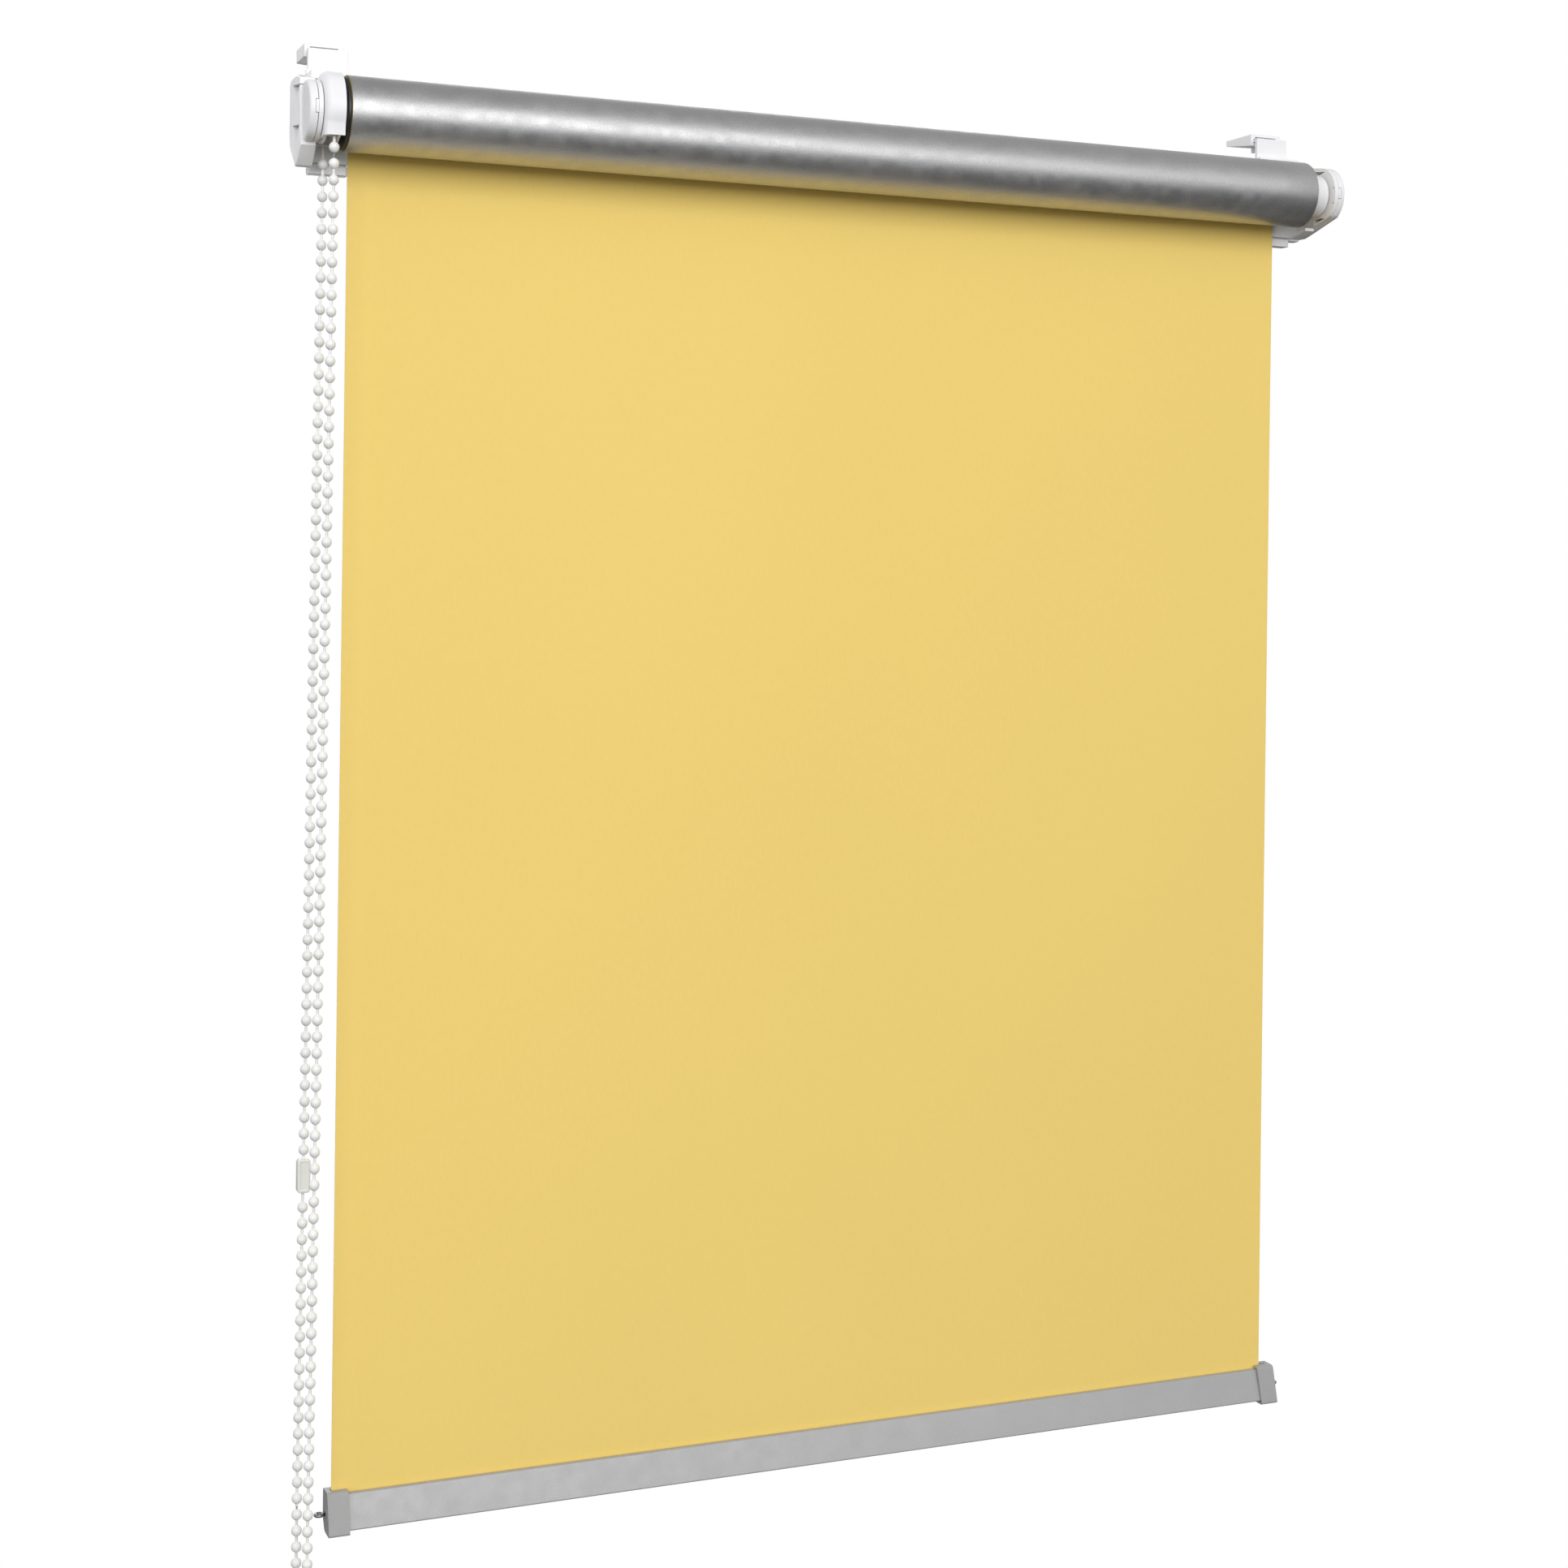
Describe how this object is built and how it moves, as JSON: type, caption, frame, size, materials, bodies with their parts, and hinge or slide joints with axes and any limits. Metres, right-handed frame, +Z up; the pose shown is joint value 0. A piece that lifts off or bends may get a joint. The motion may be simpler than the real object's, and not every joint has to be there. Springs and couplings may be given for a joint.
{
  "type": "roller blind",
  "caption": "Side-chain roller blind that clamps over a window sash, with clutch end, sprung idle end, silver-backed cloth and weighted bottom bar.",
  "frame": {"origin": "midway along the roll, on the line where the two hooks sit on the sash, in the plane of the clamp plates' back faces", "axes": "+X along the roll towards its idle end, +Y towards the window, +Z up"},
  "size_m": [0.4509, 0.0573, 0.6345],
  "materials": {
    "white_plastic": "satin-gloss moulded",
    "bead_plastic": "moulded beads, slightly translucent",
    "natural_plastic": "uncoloured moulded",
    "black_plastic": "moulded",
    "grey_plastic": "satin moulded",
    "rail_metal": "satin silver-grey",
    "tube_metal": "mill finish",
    "spring_steel": "plain wire and turned",
    "silver_coating": "silver coated reverse, fine grain",
    "yellow_cloth": "plain weave"
  },
  "bodies": {
    "mount_frame": {"left_bracket": "white_plastic", "left_bracket_cap": "white_plastic", "chain_guard": "white_plastic", "clutch_spindle": "natural_plastic", "spindle_screw": "spring_steel", "wrap_spring": "spring_steel", "right_bracket": "white_plastic", "right_bracket_cap": "white_plastic", "left_clamp_plate": "white_plastic", "right_clamp_plate": "white_plastic", "hanging_fabric": "yellow_cloth", "chain_run_front": "bead_plastic", "chain_run_rear": "bead_plastic", "chain_connector": "natural_plastic"},
    "roll": {"roller_tube": "tube_metal", "fabric_roll": "silver_coating", "drive_plug": "black_plastic", "idle_plug": "white_plastic", "idle_spring": "spring_steel"},
    "drive_wheel": {"chain_wheel": "white_plastic", "chain_on_wheel": "bead_plastic"},
    "release_pin": {"idle_pin": "white_plastic"},
    "bottom_bar": {"bottom_rail": "rail_metal", "hem_strip": "white_plastic", "left_end_cap": "grey_plastic", "right_end_cap": "grey_plastic", "left_cord_eye": "spring_steel", "right_cord_eye": "spring_steel"},
    "left_hook": {"left_clamp_hook": "white_plastic"},
    "right_hook": {"right_clamp_hook": "white_plastic"}
  },
  "joints": [
    {"name": "tube_spin", "type": "hinge", "parent": "mount_frame", "child": "roll", "pos_m": [-0.21, -0.0205, -0.0243], "axis": [1, 0, 0], "range_deg": [-3888, 1944]},
    {"name": "wheel_spin", "type": "hinge", "parent": "mount_frame", "child": "drive_wheel", "pos_m": [-0.21, -0.0205, -0.0243], "axis": [1, 0, 0], "range_deg": [-3888, 1944]},
    {"name": "bar_lift", "type": "slide", "parent": "mount_frame", "child": "bottom_bar", "axis": [0, 0, 1], "range_m": [-0.95, 0.475], "deforming": ["hanging_fabric"]},
    {"name": "idle_pin_slide", "type": "slide", "parent": "roll", "child": "release_pin", "axis": [1, 0, 0], "range_m": [-0.005, 0], "stiffness_N_per_m": 100, "springref_m": 0.003, "deforming": ["idle_spring"]},
    {"name": "left_hook_slide", "type": "slide", "parent": "mount_frame", "child": "left_hook", "axis": [0, 1, 0], "range_m": [-0.0015, 0.007]},
    {"name": "right_hook_slide", "type": "slide", "parent": "mount_frame", "child": "right_hook", "axis": [0, 1, 0], "range_m": [-0.0015, 0.007]}
  ],
  "couplings": [
    {"joint": "wheel_spin", "follows": "bar_lift", "rad_per_m": 71.429},
    {"joint": "tube_spin", "follows": "bar_lift", "rad_per_m": 71.429}
  ]
}
